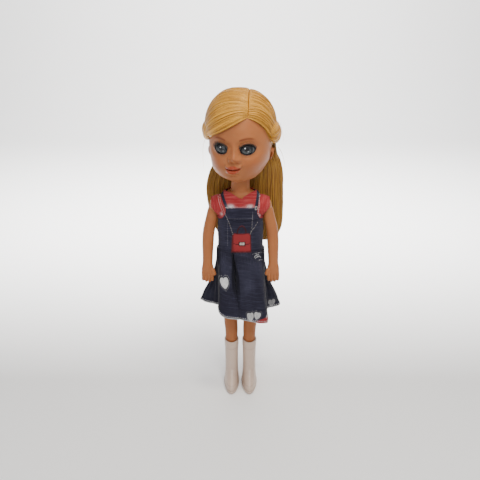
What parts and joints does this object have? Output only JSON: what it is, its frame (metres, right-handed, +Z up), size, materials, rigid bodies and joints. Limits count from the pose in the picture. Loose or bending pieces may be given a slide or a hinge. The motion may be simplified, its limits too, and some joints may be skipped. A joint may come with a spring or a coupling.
{
  "type": "fashion doll",
  "caption": "Standing play doll with long blonde hair, turning head, swinging arms and legs, printed dungaree dress over a red top and white ankle boots.",
  "frame": {"origin": "middle of the doll's footprint box, on the plane the boots stand on", "axes": "+Z up, the doll faces -Y, +X is the doll's left"},
  "size_m": [0.09, 0.0735, 0.3295],
  "materials": {
    "skin": "satin",
    "eye": "gloss",
    "hair": "satin",
    "blouse": "matte",
    "denim": "matte",
    "tape": "matte",
    "boot": "satin"
  },
  "bodies": {
    "torso": {"torso_front": "skin", "torso_back": "skin", "neck_plug": "skin", "bodice_front": "blouse", "bodice_back_left": "blouse", "bodice_back_right": "blouse", "loop_tape": "tape", "hook_tape": "tape", "skirt_left": "denim", "skirt_right": "denim", "pleat_underlay": "denim"},
    "head": {"head_shell": "skin", "eye_left": "eye", "eye_right": "eye", "hair_crown": "hair", "hair_fringe": "hair", "hair_gather_left": "hair", "hair_gather_right": "hair", "back_hair": "hair"},
    "left_arm": {"arm_left": "skin"},
    "right_arm": {"arm_right": "skin"},
    "left_leg": {"leg_left": "skin", "boot_left": "boot"},
    "right_leg": {"leg_right": "skin", "boot_right": "boot"}
  },
  "joints": [
    {"name": "neck_turn", "type": "hinge", "parent": "torso", "child": "head", "pos_m": [0, 0, 0.2465], "axis": [0, 0, 1], "range_deg": [-75, 95], "deforming": ["back_hair"]},
    {"name": "left_arm_swing", "type": "hinge", "parent": "torso", "child": "left_arm", "pos_m": [0.027, 0, 0.213], "axis": [-1, 0, 0], "range_deg": [-8, 100]},
    {"name": "right_arm_swing", "type": "hinge", "parent": "torso", "child": "right_arm", "pos_m": [-0.027, 0, 0.213], "axis": [-1, 0, 0], "range_deg": [-8, 100]},
    {"name": "left_leg_swing", "type": "hinge", "parent": "torso", "child": "left_leg", "pos_m": [0.0145, 0, 0.146], "axis": [-1, 0, 0], "range_deg": [-15, 90], "deforming": ["skirt_left", "pleat_underlay"]},
    {"name": "right_leg_swing", "type": "hinge", "parent": "torso", "child": "right_leg", "pos_m": [-0.0145, 0, 0.146], "axis": [-1, 0, 0], "range_deg": [-15, 90], "deforming": ["skirt_right", "pleat_underlay"]}
  ]
}
